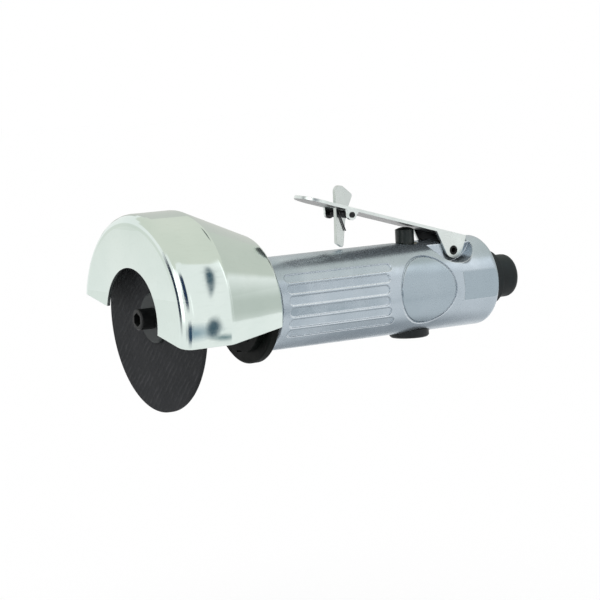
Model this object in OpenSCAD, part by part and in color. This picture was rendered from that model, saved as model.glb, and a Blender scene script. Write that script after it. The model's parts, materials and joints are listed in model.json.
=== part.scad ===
// Hand-held pneumatic cut-off tool: a vane air motor in a round housing, a lever throttle with a safety
// latch, an air regulator, and a thin cutting wheel under a turnable sheet-metal guard.
// Sizes are in millimetres. The origin is the middle of the air inlet's mouth. +X points out of the inlet
// along the tool's axis, and +Z points up, to the side of the throttle lever.

/* [Housing] */
// Diameter of the round housing
housing_d = 38.3; // [37:0.1:44]
// Chamfer at the housing's front edge
front_chamfer = 0.8; // [0.2:0.1:1.5]
// Radius of the rounded shoulder at the rear edge
rear_round = 3; // [1:0.1:4]
// Wall of the housing round the motor, as a share of the housing's diameter
wall_share = 0.0953; // [0.08:0.0001:0.115]
// Depth of the air chamber behind the motor
chamber_len = 3; // [1.5:0.1:5]
// Height of the step from the motor's bore in to the air chamber
chamber_step = 2; // [1.2:0.1:3.5]
// Distance from the air chamber forward of the valve to the valve's axis
valve_ahead = 11.5; // [10:0.1:16]
// Distance from the housing's rear face to the valve's axis
valve_from_rear = 35.5; // [33:0.1:42]

/* [Grip flutes] */
// Number of flutes on each side
flutes_per_side = 6; // [2:1:8]
// Width of a flute
flute_w = 3.8; // [2:0.1:4.4]
// Angle from one flute to the next
flute_pitch = 14.4; // [13.5:0.1:16]
// Depth of a flute
flute_depth = 0.55; // [0.2:0.05:1]
// Plain rim between the housing's front face and the flutes
flute_margin = 4; // [2:0.1:10]
// Plain rim between the emblem ring and the flutes' rear ends
flute_rim = 5.9; // [3:0.1:12]

/* [Emblem ring] */
// Diameter of the ring groove on each side
emblem_d = 27.6; // [20:0.1:30]
// Distance from the housing's rear face to the ring's middle
emblem_from_rear = 37.2; // [36:0.1:44]
// Width of the ring groove
emblem_groove_w = 0.7; // [0.4:0.1:1.5]
// Depth of the ring groove
emblem_groove_depth = 0.4; // [0.2:0.05:1]

/* [Wrench flats] */
// Depth of the flat on each side
flat_depth = 1; // [0.4:0.1:1.6]
// Length of the flats, measured from the rear face
flat_len = 19; // [10:0.5:21]

/* [Air inlet] */
// Reach of the inlet bushing behind the housing
inlet_reach = 17.5; // [14:0.1:25]
// Diameter of the inlet bushing
inlet_d = 18.4; // [17.6:0.1:20]
// Diameter of the bushing's flange
inlet_flange_d = 23.2; // [21:0.1:25]
// Thickness of the bushing's flange
inlet_flange_t = 7; // [3:0.1:9]
// Radius of the rounded edge at the mouth
inlet_round = 3; // [0.5:0.1:3.2]
// Diameter of the tapped hole in the mouth
inlet_thread_d = 11.2; // [9:0.1:11.4]
// Depth of the tapped hole in the mouth
inlet_thread_depth = 13; // [8:0.5:18]
// Diameter of the air way behind the tapped hole
inlet_way_d = 8; // [5:0.1:8.8]
// Diameter of the bushing's shank in the housing
inlet_shank_d = 16; // [14.6:0.1:17]
// Length of the bushing's shank in the housing
inlet_shank_len = 11; // [8:0.5:14]
// Thickness of the strainer at the shank's end
screen_t = 0.8; // [0.4:0.1:1.5]
// Diameter of a hole in the strainer
screen_hole_d = 1.2; // [0.6:0.1:1.5]
// Thickness of the inlet seal's round section
inlet_seal_t = 1.6; // [1:0.1:1.8]

/* [Throttle lever] */
// Distance from the housing's rear face to the lever's pivot
pivot_from_rear = 17.1; // [15:0.1:22]
// Depth of the pivot under the housing's top
pivot_sink = 4.75; // [4:0.05:6]
// Length of the lever from its pivot to its tip
lever_len = 75.5; // [71:0.1:90]
// Angle between the released lever and the tool's axis
lever_tilt = 16.4; // [15:0.1:19]
// Height of the lever's top over its pivot
lever_rise = 7.42; // [7:0.02:8]
// Width of the lever
lever_w = 18.4; // [17:0.1:21]
// Thickness of the lever's sheet
lever_sheet = 1.3; // [0.8:0.1:1.4]
// Distance from the pivot to the front corner of the ears
ear_reach = 10.2; // [9:0.1:12]
// Length of the tail behind the pivot
lever_tail = 4.9; // [4:0.1:5.2]
// Length of the turned-up lip at the tip
lever_lip_len = 10; // [3:0.1:12]
// Rise of the turned-up lip at the tip
lever_lip_lift = 0.3; // [0.1:0.1:1]
// Radius of the ears around the pivot
ear_r = 4.6; // [4:0.1:4.9]
// Height of the ears' round middle over the pivot
ear_lift = 1.3; // [0.9:0.1:1.6]
// Diameter of the lever's pivot pin
lever_pin_d = 3.8; // [2.6:0.1:4.4]
// Diameter of the hole along the rolled pivot pin
lever_pin_hole_d = 2.2; // [1:0.1:2.4]
// Radius of the pockets in the housing's sides that take the ears
pocket_r = 11.7; // [11:0.1:12.5]
// Height of the pockets' middle over the pivot
pocket_rise = 7; // [6.4:0.1:7.4]
// Distance of the pockets' middle ahead of the pivot
pocket_ahead = 1.8; // [1:0.1:2.4]
// Height over the pivot of the step in the housing's top under the lever's tail
saddle_rise = 2.9; // [2.4:0.1:3.4]
// Reach of that step ahead of the pivot
saddle_front = 5; // [3:0.1:7]
// Reach of that step behind the pivot
saddle_rear = 8.4; // [8.2:0.1:10]

/* [Safety latch] */
// Place of the latch's pin along the lever, as a share of the lever's length
latch_share = 0.71; // [0.67:0.005:0.74]
// Depth of the latch's pin under the lever's top
latch_sink = 3.06; // [2.9:0.02:3.6]
// Thickness of the latch plate
latch_t = 2; // [1.2:0.1:2.4]
// Diameter of the latch's pin
latch_pin_d = 1.5; // [1:0.1:1.6]
// Diameter of the heads of the latch's pin
latch_pin_head_d = 2.4; // [1.8:0.1:3]
// Thickness of the heads of the latch's pin
latch_pin_head_t = 0.4; // [0.2:0.1:1]
// Radius of the lever's lugs around the latch's pin
lug_r = 2.2; // [1.6:0.1:2.8]
// Reach of the strut ahead of the pin
strut_front = 2.5; // [2:0.1:3]
// Reach of the strut behind the pin
strut_back = 1.7; // [1.3:0.1:1.8]
// Reach of the strut's foot ahead of the pin
foot_front = 2.9; // [2:0.1:3.2]
// Reach of the strut's foot behind the pin
foot_back = 0.3; // [0.1:0.1:0.8]
// Reach of the strut's lowest point ahead of the pin
foot_tip = 0.4; // [0.2:0.1:0.6]
// Height of the slant at the front of the strut's foot
foot_slant = 1.7; // [1:0.1:3]
// Height of the slant at the back of the strut's foot
foot_heel = 0.7; // [0.4:0.1:2]
// Height of the tab's top over the pin
tab_h = 11.9; // [10:0.1:13]
// Radius of the round at the tab's top
tab_r = 2.4; // [1.5:0.1:2.6]
// Reach of the swept-back tab behind the pin
tab_back = 5.6; // [4.4:0.1:6.4]
// Height of the tab's rear corner over the pin
tab_corner_h = 7.3; // [6.4:0.1:8]
// Radius of the tab's rear corner
tab_corner_r = 1.3; // [0.6:0.1:1.6]
// Gap between the strut's tip and the housing
latch_gap = 0.8; // [0.75:0.05:1.2]
// Wire diameter of the latch's spring
latch_wire_d = 0.6; // [0.4:0.05:0.6]
// Mean diameter of the latch's spring
latch_coil_d = 2.5; // [2.4:0.05:2.6]
// Number of whole turns of the latch's spring
latch_turns = 3; // [2:1:4]
// Distance from one turn of the latch's spring to the next
latch_pitch = 1.05; // [1.02:0.01:1.2]
// Slant of the spring's leg along the strut
latch_leg_angle = 20; // [10:1:24]
// Length of the latch spring's leg along the strut
latch_leg = 7; // [4:0.1:7.5]
// Length of the latch spring's leg under the lever
lever_leg = 4; // [2:0.1:5]

/* [Throttle valve] */
// Diameter of the valve's plunger
plunger_d = 8; // [6:0.1:8.6]
// Radius of the plunger's domed top
plunger_dome = 8; // [6:0.1:10]
// Reach of the plunger below its bushing
plunger_foot = 2.5; // [1.6:0.1:3.4]
// Diameter of the bushing that guides the plunger
bush_d = 11; // [9.5:0.1:12]
// Length of the bushing that guides the plunger, as a share of the room over the valve's seat
bush_share = 0.58; // [0.5:0.01:0.62]
// Depth of the bushing's top under the housing's top
bush_sink = 1.2; // [0.8:0.1:3]
// Height of the closed valve's head over the regulator's plug
head_rise = 4.2; // [3.4:0.1:4.6]
// Diameter of the air way between the bushing and the valve's seat
outlet_d = 9.2; // [8:0.1:9.4]
// Thickness of the valve's seat
seat_t = 2; // [1:0.1:2.4]
// Diameter of the hole in the valve's seat
seat_hole_d = 5.8; // [4.6:0.1:6.6]
// Diameter of the valve's head
head_d = 8.4; // [7.4:0.1:8.8]
// Thickness of the valve's head
head_t = 2.3; // [1.5:0.1:3]
// Thickness of the rubber washer on the valve's head
washer_t = 0.7; // [0.4:0.1:1]
// Diameter of the valve's stem
stem_d = 3.2; // [2:0.1:3.4]
// Diameter of the valve's chamber
chamber_bore_d = 14.4; // [14:0.1:15]
// Diameter of the drilled air ways to and from the valve
feed_d = 5; // [3:0.1:5.2]
// Wire diameter of the valve's spring
valve_wire_d = 0.8; // [0.5:0.05:0.9]
// Mean diameter of the valve's spring
valve_coil_d = 6.2; // [5.6:0.1:6.4]
// Number of turns of the valve's spring
valve_turns = 5; // [3:1:5]

/* [Air regulator] */
// Diameter of the regulator's knob
knob_d = 16.8; // [14:0.1:18]
// Reach of the knob below the housing
knob_reach = 1.9; // [1:0.1:5]
// Depth of the knob's seat in the housing
knob_sink = 2; // [1.9:0.05:3]
// Diameter of the regulator's plug
plug_d = 11.9; // [11.4:0.05:12.4]
// Length of the plug in its bore
plug_len = 5.8; // [5.4:0.1:6.4]
// Height of the half sleeve that closes the air way
sleeve_h = 5; // [3:0.1:5.4]
// Diameter of the hollow that takes the valve's spring
spring_well_d = 7.8; // [7.6:0.1:8]
// Depth of the hollow that takes the valve's spring
spring_well = 5.5; // [4:0.1:5.8]
// Thickness of the clip that holds the regulator
clip_t = 0.9; // [0.6:0.1:1]
// Width of the turning slot across the knob
knob_slot_w = 1.6; // [1:0.1:3]
// Depth of the turning slot across the knob
knob_slot_depth = 1; // [0.5:0.1:2]
// Thickness of the small round seals on the regulator and the plunger
seal_t = 0.9; // [0.6:0.05:0.95]

/* [Motor] */
// Bore of the cylinder liner, as a share of its diameter
liner_share = 0.7767; // [0.72:0.0001:0.81]
// Offset of the liner's bore under the rotor's axis
liner_offset = 1.5; // [1:0.1:1.8]
// Length of the cylinder liner
liner_len = 34; // [28:0.5:42]
// Gap between the rotor and the liner where they are closest
rotor_gap = 0.3; // [0.2:0.05:0.6]
// Number of vanes
vane_count = 4; // [3:1:5]
// Thickness of a vane
vane_t = 2; // [1:0.1:2.4]
// Height of a vane, as a share of the rotor's radius
vane_share = 0.55; // [0.3:0.01:0.57]
// Bore of the front bearing, as a share of its outer diameter
front_bore_share = 0.3846; // [0.35:0.0001:0.42]
// Outer diameter of the front bearing, as a share of the motor's diameter
front_share = 0.8414; // [0.78:0.0001:0.87]
// Width of the front bearing
front_bearing_w = 8; // [6:0.1:9]
// Wall between the front bearing and the liner
front_plate_wall = 2; // [1:0.1:4]
// Bore of the rear bearing, as a share of its outer diameter
rear_bore_share = 0.3158; // [0.27:0.0001:0.37]
// Outer diameter of the rear bearing, as a share of the motor's diameter
rear_share = 0.6149; // [0.56:0.0001:0.65]
// Width of the rear bearing
rear_bearing_w = 6; // [5:0.1:7]
// Wall between the rear bearing and the liner
rear_plate_wall = 4; // [2:0.1:6]
// Diameter of the dowel that keeps the liner from turning
dowel_d = 2.5; // [1.5:0.1:2.6]
// Length of the dowel
dowel_len = 7; // [4:0.1:7.6]
// Number of balls in each bearing
ball_count = 8; // [6:1:8]
// Share of the room between a bearing's bore and its outside that a ball's diameter takes
ball_share = 0.28; // [0.24:0.01:0.3]
// Gap between a bearing's two rings, as a share of its ball's diameter
ring_gap_share = 0.6; // [0.5:0.05:0.7]

/* [Clamp nut] */
// Length of the nut's thread in the housing
nut_thread_len = 5.5; // [4:0.1:8]
// Height of the nut's neck, which carries the guard, over its thread
nut_neck_h = 1; // [0.9:0.05:1.5]
// Height of the nut's front flange over its neck
nut_flange_h = 2; // [1.5:0.1:3]
// Thickness of the nut's front flange
nut_flange_t = 2.5; // [1.5:0.1:4]
// Wall of the nut's threaded end
nut_wall = 4.45; // [3.9:0.05:6.4]
// Length of the lip that closes the nut's bore at the front
nut_lip_len = 3; // [1:0.1:5]
// Width of the key slots in the nut's flange
nut_key_w = 4; // [2:0.1:6]
// Number of air holes in the nut
exhaust_holes = 6; // [3:1:8]
// Diameter of an air hole in the nut
exhaust_hole_d = 2; // [1:0.1:2]

/* [Wheel guard] */
// Width of the guard's collar round the nut's neck
collar_w = 6.7; // [4.5:0.1:9.5]
// Thickness of the guard's collar
collar_t = 3.9; // [2.8:0.1:6]
// Thickness of the friction ring behind the collar
friction_ring_t = 2.9; // [1:0.1:5]
// Thickness of the guard's sheet
guard_sheet = 1.5; // [0.8:0.1:2.2]
// Gap between the wheel's rim and the guard
guard_gap = 2.5; // [1.5:0.1:6]
// Distance from the wheel's middle to the guard's front face
guard_front = 11.8; // [10.6:0.1:16]
// Distance from the wheel's middle to the guard's shoulder
guard_shoulder = 10.2; // [6:0.1:14]
// Width of the guard's rear wall round the collar
guard_wall_w = 5.6; // [4:0.1:9]
// Setback of the guard's rear face from the collar's rear face
guard_setback = 1.55; // [0.4:0.05:2]
// Diameter of the arch in the guard's front
guard_arch_d = 42; // [24:0.5:60]
// Radius of the bend at the guard's front edge
guard_front_bend = 4.5; // [2.4:0.1:6]
// Radius of the bend at the guard's shoulder
guard_shoulder_bend = 5; // [2.4:0.1:10]
// Radius of the bend at the guard's rear edge
guard_rear_bend = 3.5; // [2.4:0.1:5]
// Turn of the guard about the tool's axis as it is set
guard_turn = 12; // [-45:1:45]

/* [Wheel and spindle] */
// Diameter of the cutting wheel
wheel_d = 76.2; // [70:0.1:90]
// Thickness of the cutting wheel
wheel_t = 1.6; // [0.8:0.1:3.2]
// Bore of the cutting wheel
wheel_bore_d = 9.5; // [9:0.1:12]
// Distance from the wheel's middle to the housing's front face
wheel_reach = 46.5; // [42:0.1:60]
// Diameter of the wheel flanges
flange_d = 20.2; // [17:0.1:26]
// Thickness of the outer flange
outer_flange_t = 1.8; // [1:0.1:3]
// Thickness of the inner flange
inner_flange_t = 3; // [2:0.1:5]
// Diameter of the inner flange's hub
hub_d = 15; // [14:0.1:17]
// Length of the inner flange's hub
hub_len = 12.2; // [8:0.1:16]
// Width across the hub's wrench flats
hub_flats = 13; // [12.4:0.1:13.8]
// Diameter of the spacer on the spindle
spacer_d = 14; // [13:0.1:15]
// Diameter of the clamp screw
screw_d = 6; // [4:0.1:6.4]
// Diameter of the clamp screw's head
screw_head_d = 8.4; // [8:0.1:11]
// Length of the clamp screw's head
screw_head_len = 6.8; // [4:0.1:7]
// Width across flats of the clamp screw's socket
screw_hex = 5; // [3:0.1:6]
// Depth of the clamp screw's socket
screw_hex_depth = 4; // [2:0.1:5]
// Length of the clamp screw's thread in the rotor
screw_grip = 10; // [6:0.1:14]

/* [Clearances] */
// Radial clearance of a turning pin or shaft
running_gap = 0.05; // [0.02:0.01:0.09]
// Radial clearance of a piece that sits fast in another
seat_gap = 0.02; // [0.01:0.01:0.05]
// Gap between pieces that move past each other
part_gap = 0.3; // [0.2:0.05:0.4]
// Axial play of the guard between the nut and the friction ring
guard_play = 0.15; // [0.1:0.05:0.3]

/* [Hidden] */
$fn = 96;
// Extra length of a cutter past the face it opens
cut = 1;
// Depth at which a straight edge runs into a round
edge_inset = 0.05;
// Facets of a bend in a turned or folded outline
bend_steps = 6;
// Rings in one turn of a wound spring, and sides of its wire
coil_rings = 8;
coil_sides = 6;

// Stations along the axis, from the inlet's mouth to the wheel
x_rear = -inlet_reach;
x_pivot = x_rear - pivot_from_rear;
x_valve = x_rear - valve_from_rear;
x_emblem = x_rear - emblem_from_rear;
x_chamber = x_valve - valve_ahead;
x_bore_end = x_chamber - chamber_len;
x_liner_rear = x_bore_end - rear_plate_wall - rear_bearing_w;
x_liner_front = x_liner_rear - liner_len;
x_plate_front = x_liner_front - front_plate_wall - front_bearing_w;
x_front = x_plate_front - nut_thread_len;
x_collar_rear = x_front - friction_ring_t - 2 * guard_play;
x_collar_front = x_collar_rear - collar_t;
x_nut_front = x_collar_front - guard_play - nut_flange_t;
x_guard_rear = x_collar_rear - guard_setback;
x_wheel = x_front - wheel_reach;
x_wheel_rear = x_wheel + wheel_t / 2;
x_wheel_front = x_wheel - wheel_t / 2;
x_flange_rear = x_wheel_rear + inner_flange_t;
x_hub_rear = x_flange_rear + hub_len;
x_flange_front = x_wheel_front - outer_flange_t;
x_shaft_front = x_flange_rear + part_gap;

// Radii
housing_r = housing_d / 2;
motor_bore_d = housing_d * (1 - 2 * wall_share);
motor_r = motor_bore_d / 2 - running_gap;
chamber_d = motor_bore_d - 2 * chamber_step;
liner_bore_d = 2 * motor_r * liner_share;
front_bearing_od = 2 * motor_r * front_share;
front_bearing_id = front_bearing_od * front_bore_share;
rear_bearing_od = 2 * motor_r * rear_share;
rear_bearing_id = rear_bearing_od * rear_bore_share;
nut_bore_d = 2 * (motor_r - nut_wall);
nut_neck_d = motor_bore_d + 2 * nut_neck_h;
nut_flange_d = nut_neck_d + 2 * nut_flange_h;
rotor_r = liner_bore_d / 2 - liner_offset - rotor_gap;
vane_h = vane_share * rotor_r;
shaft_r = front_bearing_id / 2;
journal_r = rear_bearing_id / 2;
guard_r = wheel_d / 2 + guard_gap + guard_sheet;
collar_r = nut_neck_d / 2 + collar_w;
guard_rear_r = collar_r + guard_wall_w;

// Heights of the throttle valve and the regulator
z_pivot = housing_r - pivot_sink;
z_bush_top = housing_r - bush_sink;
z_knob_seat = -housing_r + knob_sink;
z_plug_low = z_knob_seat - part_gap;
z_plug_top = z_plug_low + plug_len;
z_ledge = z_plug_top - part_gap;
z_clip_top = z_plug_top + clip_t;
z_sleeve = z_clip_top + part_gap;
z_well = z_sleeve - spring_well;
z_head_low = z_sleeve + head_rise;
z_head_top = z_head_low + head_t;
z_washer = z_head_top + washer_t;
z_seat_low = z_washer + part_gap;
z_seat_top = z_seat_low + seat_t;
z_bush_low = z_bush_top - bush_share * (z_bush_top - z_seat_top);
z_plunger_low = z_bush_low - plunger_foot;
z_feed = z_seat_top + feed_d / 2 + seat_t / 2;
z_inlet_feed = z_seat_low - feed_d / 2;

// Places on the lever: its pin for the latch, and the plunger's dome under its sheet
latch_from_pivot = latch_share * lever_len;
latch_n = lever_rise - latch_sink;
x_latch = x_pivot - latch_from_pivot * cos(lever_tilt) + latch_n * sin(lever_tilt);
z_latch = z_pivot + latch_from_pivot * sin(lever_tilt) + latch_n * cos(lever_tilt);
dome_n = lever_rise - lever_sheet - plunger_dome - part_gap;
z_dome = z_pivot + (dome_n - (x_valve - x_pivot) * sin(lever_tilt)) / cos(lever_tilt);
web_w = lever_w - 2 * lever_sheet - 2 * part_gap;
strut_h = z_latch - housing_r - latch_gap;
pin_reach = lever_w / 2 + running_gap;

// Points on an arc about a middle, from one angle to another
function arc(mid, r, from, to) =
    [for (i = [0:bend_steps]) let (a = from + (to - from) * i / bend_steps) mid + r * [cos(a), sin(a)]];
// The point where a line from p touches a circle of radius r about the origin
function touch(p, r, side) =
    let (a = atan2(p[1], p[0]) + side * acos(r / norm(p))) r * [cos(a), sin(a)];
function unit(v) = v / norm(v);
// The least gap between the turns of a wire that follows a path
function wire_gap(path, wire_d, skip) =
    min([for (i = [0:len(path) - 1 - skip]) for (j = [i + skip:len(path) - 1]) norm(path[i] - path[j])])
    - wire_d;

// A turned piece: the outline gives each point's radius and its place along the axis
module turn_x(outline) {
    rotate([0, 90, 0])
        rotate_extrude()
            polygon(outline);
}

module rod_x(d, from, to, y = 0, z = 0) {
    translate([from, y, z])
        rotate([0, 90, 0])
            cylinder(d = d, h = to - from);
}

module rod_y(d, x, z, from, to) {
    translate([x, from, z])
        rotate([-90, 0, 0])
            cylinder(d = d, h = to - from);
}

module rod_z(d, from, to) {
    translate([x_valve, 0, from])
        cylinder(d = d, h = to - from);
}

module tube_x(d, bore, from, to) {
    turn_x([[bore / 2, from], [d / 2, from], [d / 2, to], [bore / 2, to]]);
}

// A round seal about the axis, or about the valve's upright axis
module seal_ring(mean_d, section_d) {
    rotate_extrude()
        translate([mean_d / 2, 0])
            circle(d = section_d, $fn = 32);
}

// A wire along a path: rings of points square to the path, closed at both ends
module wire(path, wire_d, side_axis) {
    last = len(path) - 1;
    rings = [
        for (i = [0:last])
            let (
                along = unit(path[min(i + 1, last)] - path[max(i - 1, 0)]),
                u = unit(cross(along, side_axis)),
                v = cross(along, u)
            )
            for (k = [0:coil_sides - 1])
                let (a = 360 * k / coil_sides)
                path[i] + wire_d / 2 * (cos(a) * u + sin(a) * v)
    ];
    sides = [
        for (i = [0:last - 1])
            for (k = [0:coil_sides - 1])
                let (
                    a = i * coil_sides + k,
                    b = i * coil_sides + (k + 1) % coil_sides
                )
                each [[a, a + coil_sides, b], [b, a + coil_sides, b + coil_sides]]
    ];
    ends = [
        for (k = [1:coil_sides - 2])
            each [[0, k, k + 1], last * coil_sides * [1, 1, 1] + [0, k + 1, k]]
    ];
    polyhedron(points = rings, faces = concat(sides, ends));
}

module flute(angle, side) {
    z = housing_r * sin(angle);
    from = x_front + flute_margin;
    to = x_emblem - sqrt(pow(emblem_d / 2 + flute_rim, 2) - pow(z, 2));
    rotate([side * (90 - angle), 0, 0])
        translate([0, 0, housing_r - flute_depth]) {
            translate([from + flute_w / 2, -flute_w / 2, 0])
                cube([to - from - flute_w, flute_w, flute_depth + cut]);
            for (x = [from + flute_w / 2, to - flute_w / 2])
                translate([x, 0, 0])
                    cylinder(d = flute_w, h = flute_depth + cut);
        }
}

module emblem_groove() {
    difference() {
        rod_y(emblem_d + emblem_groove_w, x_emblem, 0, -housing_d, housing_d);
        rod_y(emblem_d - emblem_groove_w, x_emblem, 0, -housing_d - cut, housing_d + cut);
        rod_x(housing_d - 2 * emblem_groove_depth, x_emblem - emblem_d, x_emblem + emblem_d);
    }
}

module lever_pockets() {
    for (side = [-1, 1])
        rod_y(
            2 * pocket_r, x_pivot - pocket_ahead, z_pivot + pocket_rise,
            side > 0 ? web_w / 2 : -housing_d,
            side > 0 ? housing_d : -web_w / 2
        );
    translate([x_pivot - saddle_front, -housing_r, z_pivot + saddle_rise])
        cube([saddle_front + saddle_rear, housing_d, housing_r]);
}

module valve_bores() {
    rod_z(bush_d + 2 * seat_gap, z_bush_low, housing_d);
    rod_z(outlet_d, z_seat_top, z_bush_low + cut);
    rod_z(seat_hole_d, z_seat_low - cut, z_seat_top + cut);
    rod_z(chamber_bore_d, z_ledge, z_seat_low);
    rod_z(plug_d + 2 * running_gap, -housing_d, z_ledge + cut);
    rod_z(knob_d + 2 * part_gap, -housing_d, z_knob_seat);
    rod_x(feed_d, x_chamber - cut, x_valve, z = z_feed);
    rod_x(feed_d, x_valve, x_rear - inlet_shank_len + cut, z = z_inlet_feed);
}

module housing() {
    shoulder = [housing_r - rear_round, x_rear - rear_round];
    color("lightsteelblue")
        difference() {
            turn_x(concat(
                [[0, x_front], [housing_r - front_chamfer, x_front], [housing_r, x_front + front_chamfer]],
                arc(shoulder, rear_round, 0, 90),
                [[0, x_rear]]
            ));
            rod_x(motor_bore_d, x_front - cut, x_bore_end);
            rod_x(chamber_d, x_bore_end - cut, x_chamber);
            rod_x(inlet_shank_d + 2 * seat_gap, x_rear - inlet_shank_len, x_rear + cut);
            rod_x(inlet_shank_d + 2 * (inlet_seal_t + part_gap), x_rear - inlet_seal_t, x_rear + cut);
            valve_bores();
            lever_pockets();
            rod_y(lever_pin_d + 2 * seat_gap, x_pivot, z_pivot, -housing_d, housing_d);
            for (side = [-1, 1])
                translate([x_rear - flat_len, side * (housing_d - flat_depth) - housing_r, -housing_r])
                    cube([flat_len + cut, housing_d, housing_d]);
            for (side = [-1, 1])
                for (i = [0:flutes_per_side - 1])
                    flute((i - (flutes_per_side - 1) / 2) * flute_pitch, side);
            emblem_groove();
        }
}

module inlet_bushing() {
    mouth = [inlet_d / 2 - inlet_round, -inlet_round];
    x_shank = x_rear - inlet_shank_len + part_gap;
    x_thread = -inlet_thread_depth;
    screen_d = inlet_shank_d - inlet_round;
    color("dimgray")
        turn_x(concat(
            [[inlet_way_d / 2, x_thread], [inlet_thread_d / 2, x_thread], [inlet_thread_d / 2, 0]],
            [for (i = [bend_steps:-1:0]) arc(mouth, inlet_round, 0, 90)[i]],
            [
                [inlet_d / 2, x_rear + inlet_flange_t], [inlet_flange_d / 2, x_rear + inlet_flange_t],
                [inlet_flange_d / 2, x_rear], [inlet_shank_d / 2, x_rear], [inlet_shank_d / 2, x_shank],
                [screen_d / 2, x_shank], [screen_d / 2, x_shank + screen_t],
                [inlet_way_d / 2, x_shank + screen_t]
            ]
        ));
}

module inlet_seal() {
    color("black")
        translate([x_rear - inlet_seal_t / 2, 0, 0])
            rotate([0, 90, 0])
                seal_ring(inlet_shank_d + inlet_seal_t + part_gap, inlet_seal_t - running_gap);
}

module inlet_screen() {
    x_shank = x_rear - inlet_shank_len + part_gap;
    screen_d = inlet_shank_d - 2 * inlet_round / 2 - 2 * seat_gap;
    ring_step = inlet_way_d / 6;
    color("goldenrod")
        difference() {
            rod_x(screen_d, x_shank, x_shank + screen_t);
            rod_x(screen_hole_d, x_shank - cut, x_shank + screen_t + cut);
            for (ring = [1, 2])
                for (i = [0:6 * ring - 1])
                    rotate([60 * i / ring, 0, 0])
                        rod_x(screen_hole_d, x_shank - cut, x_shank + screen_t + cut, z = ring * ring_step);
        }
}

// The lever's own frame: its pivot at the origin and its line along the axis
module on_lever() {
    translate([x_pivot, 0, z_pivot])
        rotate([0, lever_tilt, 0])
            children();
}

// An outline in the lever's side view, as a sheet between two places across the lever
module lever_sheet_part(outline, from, to) {
    translate([0, to, 0])
        rotate([90, 0, 0])
            linear_extrude(to - from)
                polygon(outline);
}

module lever_top() {
    line = [
        [-lever_len, lever_rise + lever_lip_lift], [-lever_len + lever_lip_len, lever_rise],
        [lever_tail, lever_rise]
    ];
    under = [for (i = [2:-1:0]) line[i] - [0, lever_sheet]];
    lever_sheet_part(concat(line, under), -lever_w / 2, lever_w / 2);
}

// An ear round the pivot and a lug round the latch's pin, both bent down from the lever's top
module lever_side(from, to) {
    ear_mid = [0, ear_lift];
    ear_front = [-ear_reach, lever_rise - lever_sheet];
    ear_rear = [lever_tail, lever_rise - lever_sheet];
    lug_foot = lug_r + lever_sheet;
    lever_sheet_part([
        ear_front, ear_mid + touch(ear_front - ear_mid, ear_r - edge_inset, 1),
        ear_mid + touch(ear_rear - ear_mid, ear_r - edge_inset, -1), ear_rear,
        [lever_tail, lever_rise], [-ear_reach, lever_rise]
    ], from, to);
    rod_y(2 * ear_r, 0, ear_lift, from, to);
    rod_y(2 * lug_r, -latch_from_pivot, latch_n, from, to);
    lever_sheet_part([
        [-latch_from_pivot - lug_r, latch_n], [-latch_from_pivot + lug_r, latch_n],
        [-latch_from_pivot + lug_foot, lever_rise], [-latch_from_pivot - lug_foot, lever_rise]
    ], from, to);
}

module lever_corner(side) {
    r = lever_w / 2;
    translate([-lever_len - cut, side > 0 ? lever_w / 2 - r : -lever_w / 2 - cut, -lever_len])
        difference() {
            cube([r + cut, r + cut, 2 * lever_len]);
            translate([r + cut, side > 0 ? 0 : r + cut, -cut])
                cylinder(r = r, h = 2 * lever_len + 2 * cut);
        }
}

module throttle_lever() {
    slot_front = tab_h + 2 * part_gap;
    slot_rear = tab_back * cos(lever_tilt) - tab_corner_h / 2 * sin(lever_tilt) + 2 * part_gap;
    slot_w = latch_t + 2 * part_gap;
    color("silver")
        on_lever()
            difference() {
                union() {
                    lever_top();
                    lever_side(-lever_w / 2, -lever_w / 2 + lever_sheet);
                    lever_side(lever_w / 2 - lever_sheet, lever_w / 2);
                }
                translate([-latch_from_pivot - slot_front, -slot_w / 2, 0])
                    cube([slot_front + slot_rear, slot_w, 2 * lever_rise]);
                for (side = [-1, 1])
                    lever_corner(side);
                rod_y(lever_pin_d + 2 * running_gap, 0, 0, -lever_w, lever_w);
                rod_y(latch_pin_d + 2 * seat_gap, -latch_from_pivot, latch_n, -lever_w, lever_w);
            }
}

module lever_pin() {
    seam = lever_pin_d / 8;
    color("dimgray")
        difference() {
            rod_y(lever_pin_d, x_pivot, z_pivot, -pin_reach, pin_reach);
            rod_y(lever_pin_hole_d, x_pivot, z_pivot, -lever_w, lever_w);
            translate([x_pivot, -lever_w, z_pivot - seam / 2])
                cube([lever_pin_d, 2 * lever_w, seam]);
        }
}

module safety_latch() {
    // Angles of the slanted edge between the tab's two round corners, and of its lower rear edge
    slant = 50;
    low_edge = -25;
    outline = concat(
        [[-foot_tip, -strut_h], [-foot_front, foot_slant - strut_h], [-strut_front, 0]],
        arc([0, tab_h - tab_r], tab_r, 180, slant),
        arc([tab_back - tab_corner_r, tab_corner_h], tab_corner_r, slant, low_edge),
        [
            [(strut_back + tab_back) / 2, latch_sink], [strut_back, -latch_sink],
            [foot_back, foot_heel - strut_h]
        ]
    );
    color("silver")
        translate([x_latch, latch_t / 2, z_latch])
            rotate([90, 0, 0])
                difference() {
                    linear_extrude(latch_t)
                        polygon(outline);
                    translate([0, 0, -cut])
                        cylinder(d = latch_pin_d + 2 * running_gap, h = latch_t + 2 * cut);
                }
}

module latch_pin() {
    head = pin_reach + latch_pin_head_t;
    color("dimgray") {
        rod_y(latch_pin_d, x_latch, z_latch, -head, head);
        rod_y(latch_pin_head_d, x_latch, z_latch, -head, -pin_reach);
        rod_y(latch_pin_head_d, x_latch, z_latch, pin_reach, head);
    }
}

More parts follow.
